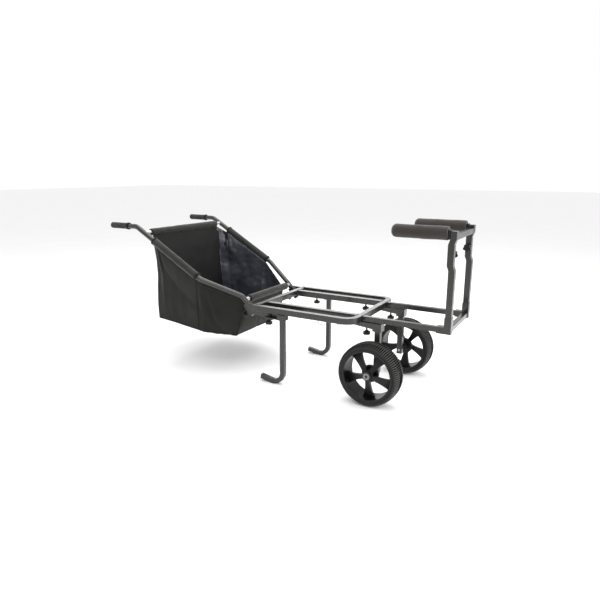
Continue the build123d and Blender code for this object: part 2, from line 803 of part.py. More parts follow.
def wheel_post():
    y = inner_rail_half_spacing
    half = post_section / 2
    low = wheel_z - post_below_axle
    high = bed_bottom - slide_gap - carriage_wall
    post = rounded(block(wheel_x - half, wheel_x + half, y - half, y + half, low, high), Axis.Z)
    inside = half - post_wall
    post -= block(wheel_x - inside, wheel_x + inside, y - inside, y + inside, low - 1, high + 1)
    return post - rod((wheel_x, y - half - 1, wheel_z), (wheel_x, y + half + 1, wheel_z), axle_radius)


def wheel_bracket():
    """Channel that slides along under the inner rail, with a head that holds the wheel post."""
    y = inner_rail_half_spacing
    top = bed_bottom - slide_gap
    low = top - carriage_depth
    half = carriage_half_width
    head_rear = wheel_x - carriage_head / 2
    head_front = wheel_x + carriage_head / 2
    channel = slab_xz([(carriage_rear_x, top), (head_rear, top), (head_rear, low), (carriage_rear_x, low + carriage_tail_rise)],
                      y - half, y + half)
    inside = half - carriage_wall
    channel -= block(carriage_rear_x + carriage_wall, head_rear - carriage_wall, y - inside, y + inside,
                     low - 1, top - carriage_wall)
    head = block(head_rear, head_front, y - carriage_head / 2, y + carriage_head / 2,
                 top - carriage_head_depth, top)
    post_half = post_section / 2
    head -= block(wheel_x - post_half, wheel_x + post_half, y - post_half, y + post_half,
                  top - carriage_head_depth - 1, top - carriage_wall)
    return channel + head - stud_hole(wheel_knob_tip(), (0, 0, -1), carriage_wall + 1)


def wheel_knob_tip():
    return (wheel_knob_x, inner_rail_half_spacing, bed_bottom - 2 * slide_gap)


# ---------------------------------------------------------------- assembly
def build_parts():
    lower_centre, upper_centre = roller_centres()
    parts = {
        "outer_hoop": outer_hoop(),
        "rear_cross_tube": rear_cross_tube(),
        "gusset_plates": both_sides(gusset_plate()),
        "handle_sockets": both_sides(handle_socket()),
        "leg_sockets": both_sides(leg_socket()),
        "strap_loops": both_sides(strap_loop()),
        "rail_end_plugs": both_sides(rail_end_plug()),
        "extension_glides": both_sides(extension_glide()),
        "lower_cross_tube": lower_cross_tube(),
        "upper_cross_tube": upper_cross_tube(),
        "support_flanges": both_sides(support_flange()),
        "support_tubes": both_sides(support_tube()),
        "lower_bag_tube": bag_tube(lower_centre),
        "upper_bag_tube": bag_tube(upper_centre),
        "lower_roller": roller(lower_centre, lower_roller_half_length),
        "upper_roller": roller(upper_centre, upper_roller_half_length),
        "grip_collars": both_sides(grip_collar()),
        "bag": bag(),
    }
    paired = {
        "inner_rail": inner_rail(),
        "extension_rail": extension_rail(),
        "corner_socket": corner_socket(),
        "upright": upright(),
        "upper_post": upper_post(),
        "support_foam": support_foam(),
        "handle_tube": handle_tube(),
        "arm_sleeve": arm_sleeve(),
        "grip": grip(),
        "leg": leg(),
        "wheel_bracket": wheel_bracket(),
        "wheel_post": wheel_post(),
        "axle": axle(),
        "rim": rim(),
        "tyre": tyre(),
        "hub_cap": hub_cap(),
        "handle_knob": knob_at(handle_knob_tip(), tuple(knob_way), handle_stud),
        "leg_knob": knob_at(leg_knob_tip(), (0, 0, -1), leg_stud),
        "wheel_knob": knob_at(wheel_knob_tip(), (0, 0, -1), wheel_stud),
        "extension_knob": knob_at(extension_knob_tip(), (0, 0, -1), extension_stud),
        "support_knob": knob_at(support_knob_tip(), (0, -1, 0), support_stud),
    }
    for side in SIDES:
        for name, shape in paired.items():
            parts[name + "_" + side] = on_side(shape, side)
    return parts


def main():
    os.makedirs("parts", exist_ok=True)
    for name, shape in build_parts().items():
        export_step(Pos(-centre_x, 0, 0) * shape, "parts/" + name + ".step")


if __name__ == "__main__":
    main()
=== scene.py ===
import json
import math

import bmesh
import bpy
import numpy as np
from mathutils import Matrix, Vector, noise


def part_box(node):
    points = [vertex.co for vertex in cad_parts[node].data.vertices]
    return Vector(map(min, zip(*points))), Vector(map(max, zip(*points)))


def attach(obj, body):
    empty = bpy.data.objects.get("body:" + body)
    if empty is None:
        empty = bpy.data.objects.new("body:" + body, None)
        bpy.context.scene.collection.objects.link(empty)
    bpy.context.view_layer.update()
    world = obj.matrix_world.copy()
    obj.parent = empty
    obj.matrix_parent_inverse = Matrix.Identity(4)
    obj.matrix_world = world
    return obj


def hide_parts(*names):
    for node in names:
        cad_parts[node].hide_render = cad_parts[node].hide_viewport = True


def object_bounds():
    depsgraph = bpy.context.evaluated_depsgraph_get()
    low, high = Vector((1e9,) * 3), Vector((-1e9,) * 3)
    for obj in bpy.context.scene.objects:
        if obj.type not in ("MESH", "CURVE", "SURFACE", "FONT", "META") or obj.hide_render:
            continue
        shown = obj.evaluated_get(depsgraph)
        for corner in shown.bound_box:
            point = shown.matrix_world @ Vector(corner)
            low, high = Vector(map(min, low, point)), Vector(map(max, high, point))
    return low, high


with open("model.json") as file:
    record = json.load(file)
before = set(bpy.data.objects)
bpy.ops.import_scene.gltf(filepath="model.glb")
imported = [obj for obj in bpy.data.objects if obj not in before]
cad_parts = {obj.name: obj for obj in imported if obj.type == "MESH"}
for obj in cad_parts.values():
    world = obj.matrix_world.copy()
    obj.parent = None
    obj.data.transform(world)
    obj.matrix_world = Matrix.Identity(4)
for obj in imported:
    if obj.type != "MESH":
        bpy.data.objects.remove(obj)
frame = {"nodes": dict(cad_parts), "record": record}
CAD_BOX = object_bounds()

# Camera: the studio view from the front right
CAMERA_AZIMUTH = 30.23
CAMERA_ELEVATION = 13.65
CAMERA_DISTANCE = 2.901
CAMERA_LENS = 31.76
CAMERA_SENSOR = 36
CAMERA_TARGET = (0.091, 0.0, 0.394)

SIDES = {"left": 1, "right": -1}
END_REACH = 0.001  # points this near to a tube's end belong to its end ring


# ---------------------------------------------------------------- places, from the frame
def centre(node):
    low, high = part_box(node)
    return (Vector(low) + Vector(high)) / 2


def size(node):
    low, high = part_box(node)
    return Vector(high) - Vector(low)


def axis_ends(node):
    """The middles of the two ends of a straight round CAD node, the one with lower X first."""
    mesh = frame["nodes"][node].data
    points = np.array([v.co[:] for v in mesh.vertices])
    middle = (points.min(axis=0) + points.max(axis=0)) / 2
    _, _, axes = np.linalg.svd(points - middle)
    way = axes[0] if axes[0][0] > 0 else -axes[0]
    along = (points - middle) @ way
    ends = []
    for at_end in (along < along.min() + END_REACH, along > along.max() - END_REACH):
        ring = points[at_end]
        ends.append(Vector((ring.min(axis=0) + ring.max(axis=0)) / 2))
    return ends


# ---------------------------------------------------------------- materials
WEAVE_TILT = (0.3, 0.0, 0.7)  # turns the weave off the axes, in radians
FABRIC_THREADS = 420
METAL_STRETCH = (1, 20, 20)  # draws the metal's grain out along X


class Surface:
    """A node material that is built up step by step."""

    def __init__(self, name, colour, rough, **sockets):
        self.material = bpy.data.materials.new(name)
        self.material.use_nodes = True
        self.tree = self.material.node_tree
        self.shader = self.tree.nodes["Principled BSDF"]
        self.shader.inputs["Base Color"].default_value = (*colour, 1)
        self.shader.inputs["Roughness"].default_value = rough
        for socket, value in sockets.items():
            self.shader.inputs[socket.replace("_", " ")].default_value = value
        self.colour = colour
        self.rough = rough
        self.normal = None
        self.coords = self.tree.nodes.new("ShaderNodeTexCoord").outputs["Object"]

    def node(self, kind, **values):
        made = self.tree.nodes.new(kind)
        for key, value in values.items():
            if key in made.inputs:
                made.inputs[key].default_value = value
            else:
                setattr(made, key, value)
        return made

    def link(self, start, end):
        self.tree.links.new(start, end)

    def noise(self, scale, detail=3.0, stretch=(1, 1, 1)):
        mapping = self.node("ShaderNodeMapping")
        mapping.inputs["Scale"].default_value = stretch
        self.link(self.coords, mapping.inputs["Vector"])
        made = self.node("ShaderNodeTexNoise", Scale=scale, Detail=detail)
        self.link(mapping.outputs[0], made.inputs["Vector"])
        return made.outputs["Fac"]

    def ramp(self, source, low, high, start=0.35, end=0.65):
        made = self.node("ShaderNodeValToRGB")
        made.color_ramp.elements[0].position = start
        made.color_ramp.elements[1].position = end
        made.color_ramp.elements[0].color = (*low, 1)
        made.color_ramp.elements[1].color = (*high, 1)
        self.link(source, made.inputs[0])
        return made.outputs[0]

    def tint(self, scale, amount, stretch=(1, 1, 1)):
        """Colour that wanders a little, lighter and darker, as a real surface does."""
        low = [c * (1 - amount) for c in self.colour]
        high = [min(1, c * (1 + amount)) for c in self.colour]
        self.link(self.ramp(self.noise(scale, 5.0, stretch), low, high), self.shader.inputs["Base Color"])
        return self

    def gloss(self, scale, amount):
        low = (self.rough - amount,) * 3
        high = (self.rough + amount,) * 3
        self.link(self.ramp(self.noise(scale, 4.0), low, high), self.shader.inputs["Roughness"])
        return self

    def bump(self, source, strength, distance):
        made = self.node("ShaderNodeBump", Strength=strength, Distance=distance)
        self.link(source, made.inputs["Height"])
        if self.normal:
            self.link(self.normal, made.inputs["Normal"])
        self.normal = made.outputs[0]
        self.link(self.normal, self.shader.inputs["Normal"])
        return self

    def grain(self, scale, strength, distance, stretch=(1, 1, 1)):
        return self.bump(self.noise(scale, 2.0, stretch), strength, distance)

    def weave(self, threads, strength, distance):
        """Crossed threads: the product of two sets of bands, tilted so that no face lies along them."""
        bands = []
        for direction in ("X", "Z"):
            mapping = self.node("ShaderNodeMapping")
            mapping.inputs["Rotation"].default_value = WEAVE_TILT
            self.link(self.coords, mapping.inputs["Vector"])
            wave = self.node("ShaderNodeTexWave", Scale=threads, Distortion=0.4, bands_direction=direction)
            self.link(mapping.outputs[0], wave.inputs["Vector"])
            bands.append(wave.outputs["Fac"])
        both = self.node("ShaderNodeMath", operation="MULTIPLY")
        self.link(bands[0], both.inputs[0])
        self.link(bands[1], both.inputs[1])
        return self.bump(both.outputs[0], strength, distance)


def powder_coat(name, colour, rough):
    made = Surface(name, colour, rough, Specular_IOR_Level=0.4,
                   Coat_Weight=0.4, Coat_Roughness=0.12, Coat_IOR=1.55)
    return made.tint(9, 0.16).gloss(30, 0.06).grain(1400, 0.10, 0.0004).material


def bare_metal(name, colour, rough):
    made = Surface(name, colour, rough, Metallic=1.0)
    return made.tint(25, 0.08).gloss(60, 0.07).grain(900, 0.08, 0.0002, METAL_STRETCH).material


def moulded(name, colour, rough):
    made = Surface(name, colour, rough, Specular_IOR_Level=0.3)
    return made.tint(14, 0.15).gloss(40, 0.05).grain(1100, 0.12, 0.0003).material


def rubber(name, colour, rough):
    made = Surface(name, colour, rough, Specular_IOR_Level=0.25)
    return made.tint(18, 0.2).grain(700, 0.25, 0.0005).material


def foam(name, colour):
    made = Surface(name, colour, 0.92, Specular_IOR_Level=0.2, Sheen_Weight=0.25, Sheen_Roughness=0.6)
    return made.tint(16, 0.14).grain(420, 0.35, 0.0012).grain(60, 0.2, 0.002).material


def cloth(name, colour, rough, sheen=0.3):
    made = Surface(name, colour, rough, Sheen_Weight=sheen, Sheen_Roughness=0.45, Specular_IOR_Level=0.2)
    return made.tint(7, 0.2).weave(FABRIC_THREADS, 0.3, 0.0006).grain(45, 0.12, 0.002).material


def lining(name, colour):
    """Coated inner face of the bag: it shines along every wrinkle."""
    made = Surface(name, colour, 0.32, Specular_IOR_Level=0.6, Coat_Weight=0.4, Coat_Roughness=0.22,
                   Coat_Tint=(0.88, 0.91, 1.0, 1.0))
    made.tint(8, 0.3).gloss(14, 0.08).weave(FABRIC_THREADS, 0.12, 0.0004)
    return made.grain(5, 1.0, 0.045, (1, 1, 1.5)).grain(17, 0.5, 0.009, (1.4, 1, 0.8)).material


MATERIALS = {
    "frame_paint": powder_coat("frame_paint", (0.012, 0.0112, 0.0100), 0.30),
    "tube_paint": powder_coat("tube_paint", (0.017, 0.0162, 0.0146), 0.33),
    "bare_tube": bare_metal("bare_tube", (0.62, 0.62, 0.63), 0.3),
    "steel": bare_metal("steel", (0.5, 0.5, 0.5), 0.32),
    "black_plastic": moulded("black_plastic", (0.006, 0.006, 0.006), 0.42),
    "knob_plastic": moulded("knob_plastic", (0.006, 0.006, 0.006), 0.40),
    "rim_plastic": moulded("rim_plastic", (0.005, 0.005, 0.005), 0.42),
    "tyre": rubber("tyre", (0.050, 0.050, 0.048), 0.62),
    "cap_plastic": moulded("cap_plastic", (0.020, 0.020, 0.020), 0.35),
    "foam": foam("foam", (0.024, 0.0195, 0.0170)),
    "grip_rubber": rubber("grip_rubber", (0.036, 0.036, 0.037), 0.62),
    "webbing": cloth("webbing", (0.020, 0.020, 0.0175), 0.75),
    "roller_fabric": cloth("roller_fabric", (0.014, 0.0145, 0.0115), 0.72),
    "bag_fabric": cloth("bag_fabric", (0.0105, 0.0105, 0.0088), 0.70, 0.12),
}
BAG_LINING = lining("bag_lining", (0.050, 0.0520, 0.062))
# Painted shade: a darker copy of the bag's cloth, for the inside of the rear wall
BAG_BACK_SHADE = cloth("bag_back_painted_shade", (0.0060, 0.0060, 0.0056), 0.66, 0.05)
BINDING = cloth("binding", (0.006, 0.006, 0.006), 0.8, 0.1)
# Painted shade: the tread's grooves get a much darker copy of the tyre rubber, standing in for the shade
# inside them
GROOVE_SHADE = Surface("tyre_groove_painted_shade", (0.0015, 0.0015, 0.0015), 0.9,
                 Specular_IOR_Level=0.05).tint(30, 0.3).material
SIDEWALL = rubber("tyre_sidewall", (0.013, 0.013, 0.0125), 0.55)
THREAD = cloth("thread", (0.03, 0.03, 0.028), 0.7, 0.1)
SLOT_OF = {row["node"]: row["material_slot"] for row in frame["record"]["subparts"]}


def paint_frame():
    for node, obj in frame["nodes"].items():
        obj.data.materials.clear()
        obj.data.materials.append(MATERIALS[SLOT_OF[node]])


# ---------------------------------------------------------------- mesh helpers
def mesh_piece(name, points, faces, material, smooth=True):
    mesh = bpy.data.meshes.new(name)
    mesh.from_pydata([tuple(p) for p in points], [], faces)
    mesh.validate()
    mesh.update()
    obj = bpy.data.objects.new(name, mesh)
    bpy.context.scene.collection.objects.link(obj)
    mesh.materials.append(material)
    if smooth:
        mesh.polygons.foreach_set("use_smooth", [True] * len(mesh.polygons))
    return obj


def ring_faces(rows, count, closed_ends=(False, False)):
    faces = []
    for i in range(rows - 1):
        for j in range(count):
            k = (j + 1) % count
            faces.append((i * count + j, i * count + k, (i + 1) * count + k, (i + 1) * count + j))
    if closed_ends[0]:
        faces.append(tuple(reversed(range(count))))
    if closed_ends[1]:
        faces.append(tuple(range((rows - 1) * count, rows * count)))
    return faces


def turned(name, start, end, profile, material, count=72, shape=None, closed=(False, False)):
    """A piece turned about the line from start to end. profile holds (distance, radius) in metres, and
    shape(distance, angle) may add to the radius."""
    way = (end - start).normalized()
    side = way.cross(Vector((0, 0, 1)))
    side = side.normalized() if side.length > 0.1 else Vector((0, 1, 0))
    up = side.cross(way).normalized()
    points = []
    for distance, radius in profile:
        for j in range(count):
            angle = 2 * math.pi * j / count
            r = radius + (shape(distance, angle) if shape else 0.0)
            points.append(start + way * distance + side * (r * math.cos(angle)) + up * (r * math.sin(angle)))
    return mesh_piece(name, points, ring_faces(len(profile), count, closed), material)


def turned_noise(distance, angle, along, around, shift=(0, 0)):
    """Smooth noise over a turned piece: along and around say how fast it changes in each direction."""
    return noise.noise(Vector((distance * along, math.cos(angle) * around + shift[0],
                               math.sin(angle) * around + shift[1])))


def cord_like(name, points, radius, material, closed=False):
    """A thin round piece, such as piping or a weld bead, along points."""
    curve = bpy.data.curves.new(name, "CURVE")
    curve.dimensions = "3D"
    curve.bevel_depth = radius
    curve.bevel_resolution = 3
    spline = curve.splines.new("POLY")
    spline.points.add(len(points) - 1)
    for spot, p in zip(spline.points, points):
        spot.co = (*p, 1)
    spline.use_cyclic_u = closed
    shell = bpy.data.objects.new(name, curve)
    mesh = bpy.data.meshes.new_from_object(shell)
    mesh.name = name
    bpy.data.objects.remove(shell)
    obj = bpy.data.objects.new(name, mesh)
    bpy.context.scene.collection.objects.link(obj)
    mesh.materials.clear()
    mesh.materials.append(material)
    mesh.polygons.foreach_set("use_smooth", [True] * len(mesh.polygons))
    return obj


def finish_piece(obj, body, slot, *nodes):
    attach(obj, body)
    if nodes:
        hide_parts(*nodes)
    return obj


# ---------------------------------------------------------------- wheels
TREAD_CELLS = 92
CELL_STEPS = 4  # places round the tyre in one cell: two of groove, two of rib
GROOVE_STEPS = 2
TREAD_DEPTH = 0.0036
TREAD_BAND = 0.0090  # the tread's cuts start this far below the crown
COLOUR_BAND = 0.012  # the sidewall's colour starts this far below the crown
CENTRE_BAND = 0.016  # within this distance of the middle the cuts are shifted by half a cell
TREAD_SHARP = math.radians(28)
# How far each point of half the outline is in from the tyre's side, and below its crown, from the bead up
TYRE_OUTLINE = [
    (0.004, 0.0305), (0.004, 0.0255), (0.0012, 0.022), (0, 0.017), (0.0006, 0.0125), (0.003, 0.0085),
    (0.0075, 0.0055), (0.013, 0.0034), (0.019, 0.0020),
    (0.0195, 0.0048), (0.0215, 0.0048), (0.022, 0.0014),
    (0.028, 0.0008), (0.034, 0.0004),
    (0.0345, 0.0036), (0.0365, 0.0036), (0.037, 0.0002), (0.043, 0),
]


def tyre_section(width, radius):
    """Half of the tyre's outline, from the bead to the crown, as (side distance, radius)."""
    return [(width / 2 - inwards, radius - below) for inwards, below in TYRE_OUTLINE]


def tyre(side):
    node = "tyre_" + side
    middle, width, crown = centre(node), size(node).y, size(node).z / 2
    half = tyre_section(width, crown)
    outline = half + [(-w, r) for w, r in reversed(half)]
    count = TREAD_CELLS * CELL_STEPS
    points = []
    for w, r in outline:
        on_tread = r > crown - TREAD_BAND
        shift = GROOVE_STEPS if abs(w) < CENTRE_BAND else 0
        for j in range(count):
            angle = 2 * math.pi * j / count
            cut = TREAD_DEPTH if on_tread and (j + shift) % CELL_STEPS < GROOVE_STEPS else 0.0
            points.append(middle + Vector(((r - cut) * math.cos(angle), w, (r - cut) * math.sin(angle))))
    faces = ring_faces(len(outline), count)
    # Faces of the tread's grooves, which take the painted shade
    shaded_groove_faces = [index for index in range(len(faces)) if (index % count) % CELL_STEPS < GROOVE_STEPS]
    last = (len(outline) - 1) * count
    for j in range(count):
        k = (j + 1) % count
        faces.append((last + j, last + k, k, j))
    obj = mesh_piece("tyre_tread_" + side, points, faces, MATERIALS["tyre"])
    obj.data.set_sharp_from_angle(angle=TREAD_SHARP)
    obj.data.materials.append(GROOVE_SHADE)
    obj.data.materials.append(SIDEWALL)
    for index in shaded_groove_faces:
        obj.data.polygons[index].material_index = 1
    for face in obj.data.polygons:
        if (face.center - middle).xz.length <= crown - COLOUR_BAND:
            face.material_index = 2
    return finish_piece(obj, "wheel_" + side, "tyre", node)


# The hub's trim, as (distance out from its foot, radius)
HUB_TRIM_HEIGHT = 0.004
HUB_RING = [(0.0, 0.0205), (0.0034, 0.0205), (HUB_TRIM_HEIGHT, 0.0200),
            (HUB_TRIM_HEIGHT, 0.0186), (0.0034, 0.0180), (0.0, 0.0180)]
HUB_DISC = [(0.0, 0.0165), (0.0032, 0.0165), (HUB_TRIM_HEIGHT, 0.0155), (0.0036, 0.0100), (0.0036, 0.0004)]
HUB_SIDES = 64
DISC_GREY = (0.20, 0.20, 0.20)


def hub_trim(side):
    """Raised ring and a plain disc, set into the face of the hub cap."""
    node = "hub_cap_" + side
    low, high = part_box(node)
    face = high[1] if SIDES[side] > 0 else low[1]
    middle = Vector((centre(node).x, face, centre(node).z))
    inner = middle - Vector((0, SIDES[side] * HUB_TRIM_HEIGHT, 0))
    made = turned("hub_ring_" + side, inner, middle, HUB_RING, MATERIALS["rim_plastic"], HUB_SIDES)
    finish_piece(made, "wheel_" + side, "rim_plastic")
    light = moulded("cap_disc_" + side, DISC_GREY, 0.35)
    made = turned("hub_disc_" + side, inner, middle, HUB_DISC, light, HUB_SIDES, closed=(False, True))
    return finish_piece(made, "wheel_" + side, "cap_plastic")


# ---------------------------------------------------------------- foam and grips
FOAM_TIP = 0.021  # radius of the foam's rounded end
FOAM_TIP_STEPS = 10
FOAM_STEPS = 44
FOAM_BORE = 0.012
FOAM_DENTS = 0.0011
FOAM_GRAIN = 0.0004
FOAM_DRAWN_IN = 0.0008  # keeps the dents' high places near the CAD size

GRIP_GROOVES_START = 0.008  # from the grip's closed end
GRIP_GROOVES_STOP = 0.012  # no groove starts nearer than this to its open end
GRIP_PITCH = 0.0042
GRIP_GROOVE = [(0.0, 0.0002), (0.0006, 0.0014), (0.0014, 0.0014), (0.002, 0.0002)]  # (distance, depth)
GRIP_BORE = 0.0145


def support_foam(side):
    node = "support_foam_" + side
    low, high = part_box(node)
    mid = centre(node)
    start, end = Vector((low[0], mid.y, mid.z)), Vector((high[0], mid.y, mid.z))
    radius, length = size(node).z / 2, high[0] - low[0]
    profile = [(0.0002, 0.001)]
    for i in range(1, FOAM_TIP_STEPS + 1):
        angle = math.pi / 2 * i / FOAM_TIP_STEPS
        profile.append((FOAM_TIP * (1 - math.cos(angle)), radius - FOAM_TIP + FOAM_TIP * math.sin(angle)))
    profile += [(d, radius) for d in np.linspace(FOAM_TIP + 0.004, length - 0.004, FOAM_STEPS)]
    profile += [(length - 0.0015, radius - 0.001), (length, radius - 0.004), (length, FOAM_BORE)]

    def dents(distance, angle):
        if not 0.004 < distance < length - 0.002:
            return 0.0
        soft = turned_noise(distance, angle, 16, 1.2, (0, SIDES[side]))
        fine = turned_noise(distance, angle, 60, 4)
        return FOAM_DENTS * soft + FOAM_GRAIN * fine - FOAM_DRAWN_IN

    obj = turned("padded_support_" + side, start, end, profile, MATERIALS["foam"], 96, dents, (True, False))
    return finish_piece(obj, "upper_frame", "foam", node)


def grip(side):
    node = "grip_" + side
    low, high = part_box(node)
    mid = centre(node)
    start, end = Vector((low[0], mid.y, mid.z)), Vector((high[0], mid.y, mid.z))
    radius, length = size(node).z / 2, high[0] - low[0]
    profile = [(0.0, 0.001), (0.0, radius - 0.004), (0.001, radius - 0.0015), (0.004, radius)]
    groove_at = GRIP_GROOVES_START
    while groove_at < length - GRIP_GROOVES_STOP:
        profile += [(groove_at + distance, radius - depth) for distance, depth in GRIP_GROOVE]
        groove_at += GRIP_PITCH
    profile += [(length - 0.006, radius), (length - 0.001, radius),
                (length, radius - 0.001), (length, GRIP_BORE)]
    obj = turned("hand_grip_" + side, start, end, profile, MATERIALS["grip_rubber"], 56, closed=(True, False))
    return finish_piece(obj, "handle_frame", "grip_rubber", node)


# ---------------------------------------------------------------- fabric on the tubes
FABRIC_DRAWN_IN = 0.0006  # keeps the folds' high places near the radius

SLEEVE_RADIUS = 0.0205
SLEEVE_BORE = 0.0150
SLEEVE_EDGE = 0.001
SLEEVE_STEPS = 90
SLEEVE_RIPPLE = 0.0016
SLEEVE_RIDGE = 0.0018
SLEEVE_HEM = (0.016, 0.019)  # the stitched groove's two sides, from either end
SLEEVE_HEM_DEPTH = 0.0012
SLEEVE_BAND = [(0.0, 0.0215), (0.0005, 0.0222), (0.0085, 0.0222), (0.009, 0.0215)]  # (distance, radius)

ROLLER_BORE = 0.0118
ROLLER_END = [(0.0, 0.0075), (0.001, 0.0045), (0.003, 0.0018), (0.006, 0.0004)]  # (distance, depth)
ROLLER_STEPS = 120
ROLLER_RIPPLE = 0.0012
ROLLER_SEAM_ANGLE = 0.9
ROLLER_SEAM_HEIGHT = 0.0016
ROLLER_SEAM_SPREAD = 0.006  # of the cosine of the angle from the seam
ROLLER_PLEATS = 13
ROLLER_PLEAT_DEPTH = 0.0004
ROLLER_GATHER = 0.02  # the pleats fade over this length from each end


def arm_sleeve(side):
    """Fabric sleeve round the arm, slightly loose, with a low ridge along its underside."""
    node = "arm_sleeve_" + side
    start, end = axis_ends(node)
    length = (end - start).length
    profile = [(0.0, SLEEVE_BORE), (0.0, SLEEVE_RADIUS - SLEEVE_EDGE)]
    profile += [(length * i / SLEEVE_STEPS, SLEEVE_RADIUS) for i in range(1, SLEEVE_STEPS)]
    profile += [(length, SLEEVE_RADIUS - SLEEVE_EDGE), (length, SLEEVE_BORE)]

    def folds(distance, angle):
        if distance < 0.002 or distance > length - 0.002:
            return 0.0
        below = max(0.0, -math.sin(angle))
        ripple = turned_noise(distance, angle, 34, 1.5)
        near, far = SLEEVE_HEM
        at_hem = near < distance < far or length - far < distance < length - near
        hem = -SLEEVE_HEM_DEPTH if at_hem else 0.0
        return SLEEVE_RIPPLE * ripple * (0.4 + below) + SLEEVE_RIDGE * below ** 6 - FABRIC_DRAWN_IN + hem

    obj = turned("sleeve_fabric_" + side, start, end, profile, MATERIALS["webbing"], 64, folds)
    finish_piece(obj, "handle_frame", "webbing", node)
    for name, spot, other in (("low", end, start), ("high", start, end)):
        way = (other - spot).normalized()
        made = turned("sleeve_band_" + name + "_" + side, spot, spot + way, SLEEVE_BAND, BINDING, 56)
        finish_piece(made, "handle_frame", "webbing")
    return obj


def roller(node, name):
    """Padded roller's fabric cover, with fine pleats at its ends and one raised seam along it."""
    low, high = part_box(node)
    mid = centre(node)
    start, end = Vector((mid.x, low[1], mid.z)), Vector((mid.x, high[1], mid.z))
    radius, length = size(node).z / 2, high[1] - low[1]
    rounded = [(distance, radius - depth) for distance, depth in ROLLER_END]
    inset = ROLLER_END[-1][0]
    profile = [(0.0, ROLLER_BORE)] + rounded
    profile += [(inset + (length - 2 * inset) * i / ROLLER_STEPS, radius) for i in range(1, ROLLER_STEPS)]
    profile += [(length - distance, r) for distance, r in reversed(rounded)] + [(length, ROLLER_BORE)]

    def folds(distance, angle):
        if distance < 0.004 or distance > length - 0.004:
            return 0.0
        ripple = turned_noise(distance, angle, 26, 1.4, (3, 0))
        off_seam = (math.cos(angle + ROLLER_SEAM_ANGLE) - 1) / ROLLER_SEAM_SPREAD
        seam = ROLLER_SEAM_HEIGHT * math.exp(-off_seam ** 2)
        gather = math.exp(-min(distance, length - distance) / ROLLER_GATHER)
        pleat = ROLLER_PLEAT_DEPTH * gather * math.sin(angle * ROLLER_PLEATS)
        return ROLLER_RIPPLE * ripple + seam + pleat - FABRIC_DRAWN_IN

    obj = turned(name, start, end, profile, MATERIALS["roller_fabric"], 96, folds)
    return finish_piece(obj, "handle_frame", "roller_fabric", node)


# ---------------------------------------------------------------- the bag
BAG_ACROSS = 44  # cells across the rear and the front
BAG_ALONG = 60  # cells along each side
BAG_DOWN = 36  # cells from the top edge to the floor
HANG_LIMIT = 0.016  # no point of the cloth moves further than this while it hangs
HANG_FRAMES = 24
LOWEST_BELOW_CAD = 0.004  # the cloth is kept from hanging further than this below the CAD bag
CLOTH_THICKNESS = 0.0014

# Where the bag's top edge lies: on the rollers, in shares of their radius, and under the arms, in metres
ROLLER_INSET = 0.004  # metres short of the rollers' ends
UPPER_ROLLER_AHEAD, UPPER_ROLLER_DOWN = 0.55, 0.82
LOWER_ROLLER_BEHIND, LOWER_ROLLER_DOWN = 0.80, 0.55
UNDER_ARM = (0, -0.012, -0.019)

# The floor's outline, in from the CAD bag's box unless a line says otherwise
SIDE_INSET = 0.001
REAR_RISE = 0.054
WIDEST_RISE = 0.017
WIDEST_AHEAD = 0.068  # of the box's centre
FRONT_LEAN = 0.044
FRONT_HALF_WIDTH = 0.217  # from the cart's middle plane

# Unevenness of the walls and of the floor
BAG_MIDDLE_X = -0.36  # the walls are pushed away from this place
WALL_SWELL = 0.009
WALL_GRAIN = 0.0035
FLOOR_DIP = 0.006
FLOOR_SWELL = 0.003

# The rear wall's inner face is painted darker, as shade: its depth from the rearmost point, and how squarely
# its faces look back
REAR_DEPTH = 0.07
REAR_FACING = 0.6

SIDE_SEAM = 0.56  # place of the sides' middle seams, as a share of the way from rear to front
SEAM_RADIUS = 0.0021
FLOOR_SEAM_RADIUS = 0.0023
THREAD_RADIUS = 0.0009
HEM_ROW = 3  # row of cells below the top edge that the thread runs along


def lines(points, count):
    """count + 1 places spread evenly along a run of straight lines."""
    points = [Vector(p) for p in points]
    lengths = [(b - a).length for a, b in zip(points, points[1:])]
    total, places = sum(lengths), []
    for i in range(count + 1):
        left = total * i / count
        k = 0
        while k < len(lengths) - 1 and left > lengths[k]:
            left -= lengths[k]
            k += 1
        places.append(points[k].lerp(points[k + 1], min(1.0, left / lengths[k])))
    return places


def bag_rims():
    """The top and bottom edges of the bag, each as one closed run: rear, right, front, left."""
    low, high = (Vector(v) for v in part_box("bag"))
    upper, lower = centre("upper_roller"), centre("lower_roller")
    high_end, low_end = axis_ends("arm_sleeve_left")
    roll = size("upper_roller").z / 2
    rear_y = size("upper_roller").y / 2 - ROLLER_INSET
    front_y = size("lower_roller").y / 2 - ROLLER_INSET
    top_rear = Vector((upper.x + roll * UPPER_ROLLER_AHEAD, rear_y, upper.z - roll * UPPER_ROLLER_DOWN))
    top_front = Vector((lower.x - roll * LOWER_ROLLER_BEHIND, front_y, lower.z - roll * LOWER_ROLLER_DOWN))
    under = Vector(UNDER_ARM)
    side = [top_rear, high_end + under, low_end + under, top_front]
    wide = high.y - SIDE_INSET
    rear_low = Vector((low.x, wide, low.z + REAR_RISE))
    widest_low = Vector((centre("bag").x + WIDEST_AHEAD, wide, low.z + WIDEST_RISE))
    front_low = Vector((high.x - FRONT_LEAN, FRONT_HALF_WIDTH, low.z))
    bottom = [rear_low, widest_low, front_low]

    def flip(points):
        return [Vector((p.x, -p.y, p.z)) for p in points]

    def loop(run):
        rear = lines([run[0], flip(run)[0]], BAG_ACROSS)[:-1]
        right = lines(flip(run), BAG_ALONG)[:-1]
        front = lines([flip(run)[-1], run[-1]], BAG_ACROSS)[:-1]
        left = lines(list(reversed(run)), BAG_ALONG)[:-1]
        return rear + right + front + left

    return loop(side), loop(bottom)


